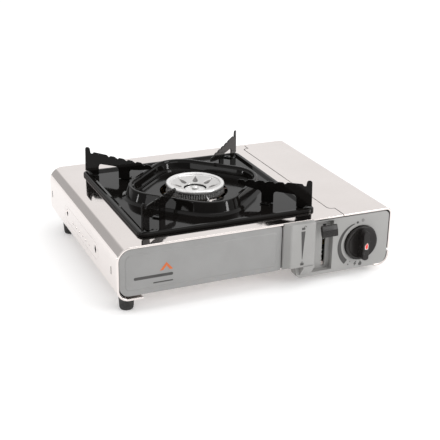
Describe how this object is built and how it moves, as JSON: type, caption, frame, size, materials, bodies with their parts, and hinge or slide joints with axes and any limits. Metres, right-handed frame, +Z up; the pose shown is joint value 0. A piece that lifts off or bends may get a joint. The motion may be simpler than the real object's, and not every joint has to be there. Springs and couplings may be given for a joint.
{
  "type": "camping stove",
  "caption": "Flat portable gas stove: burner under a lift-off enamelled pan support with upright fins, side bay with hinged lid, lock lever and turn knob.",
  "frame": {"origin": "centre of the outer box at the level of the table, under the feet", "axes": "+X to the right, the cartridge side; +Y to the back; +Z up; knob and lever face -Y"},
  "size_m": [0.34, 0.294, 0.1165],
  "materials": {
    "steel": "polished stainless sheet",
    "grey_paint": "satin grey paint on embossed sheet",
    "zinc": "zinc-plated sheet, dull",
    "grey_plastic": "satin grey moulding",
    "black_plastic": "semi-gloss black",
    "brass": "machined",
    "aluminium": "die cast, satin",
    "ceramic": "glazed white ceramic",
    "burner_steel": "bright plated",
    "burner_iron": "heat-darkened",
    "enamel": "glossy black vitreous enamel",
    "rubber": "matt black rubber"
  },
  "bodies": {
    "casing": {"base_pan": "steel", "top_shell": "steel", "rear_panel": "steel", "front_panel": "grey_paint", "lid_hinge_pin_front": "zinc", "lid_hinge_pin_rear": "zinc", "lever_pivot": "zinc", "lever_bracket": "zinc", "pusher_guide_front": "zinc", "pusher_guide_rear": "zinc", "partition": "zinc", "regulator_cap": "zinc", "regulator_bracket": "zinc", "cradle_front": "zinc", "cradle_rear": "zinc", "burner_bracket": "zinc", "control_panel": "grey_plastic", "piezo_case": "black_plastic", "ignition_lead": "black_plastic", "inlet_collar": "brass", "inlet_nozzle": "brass", "gas_jet": "brass", "heat_strap": "brass", "regulator_body": "aluminium", "mixing_tube": "aluminium", "spark_insulator": "ceramic", "spark_electrode": "burner_steel", "burner_cap": "burner_steel", "burner_screw": "burner_steel", "burner_body": "burner_iron", "burner_core": "burner_iron", "foot_front_left": "rubber", "foot_rear_left": "rubber", "foot_front_right": "rubber", "foot_rear_right": "rubber"},
    "knob_assembly": {"knob": "black_plastic", "valve_spindle": "brass"},
    "lever_assembly": {"lock_lever": "zinc", "lever_tab": "black_plastic"},
    "pusher": {"cartridge_pusher": "zinc"},
    "lid": {"cartridge_lid": "steel"},
    "pan_support": {"pan_tray": "enamel", "fin_front_left": "enamel", "fin_front_right": "enamel", "fin_rear_left": "enamel", "fin_rear_right": "enamel"},
    "igniter_plunger": {"piezo_plunger": "zinc"}
  },
  "joints": [
    {"name": "knob_turn", "type": "hinge", "parent": "casing", "child": "knob_assembly", "pos_m": [0.1295, -0.133, 0.0411], "axis": [0, -1, 0], "range_deg": [0, 150]},
    {"name": "lock_lever_swing", "type": "hinge", "parent": "casing", "child": "lever_assembly", "pos_m": [0.08445, -0.071, 0.046], "axis": [1, 0, 0], "range_deg": [0, 33]},
    {"name": "pusher_slide", "type": "slide", "parent": "casing", "child": "pusher", "axis": [0, -1, 0], "range_m": [0, 0.0103]},
    {"name": "lid_hinge", "type": "hinge", "parent": "casing", "child": "lid", "pos_m": [0.1682, 0.007, 0.026], "axis": [0, 1, 0], "range_deg": [0, 95]},
    {"name": "pan_support_lift", "type": "slide", "parent": "casing", "child": "pan_support", "axis": [0, 0, 1], "range_m": [0, 0.08]},
    {"name": "igniter_stroke", "type": "slide", "parent": "casing", "child": "igniter_plunger", "axis": [-1, 0, 0], "range_m": [0, 0.0041]}
  ],
  "couplings": [
    {"joint": "pusher_slide", "follows": "lock_lever_swing", "m_per_rad": 0.01775},
    {"joint": "igniter_stroke", "follows": "knob_turn", "m_per_rad": 0.00153}
  ]
}
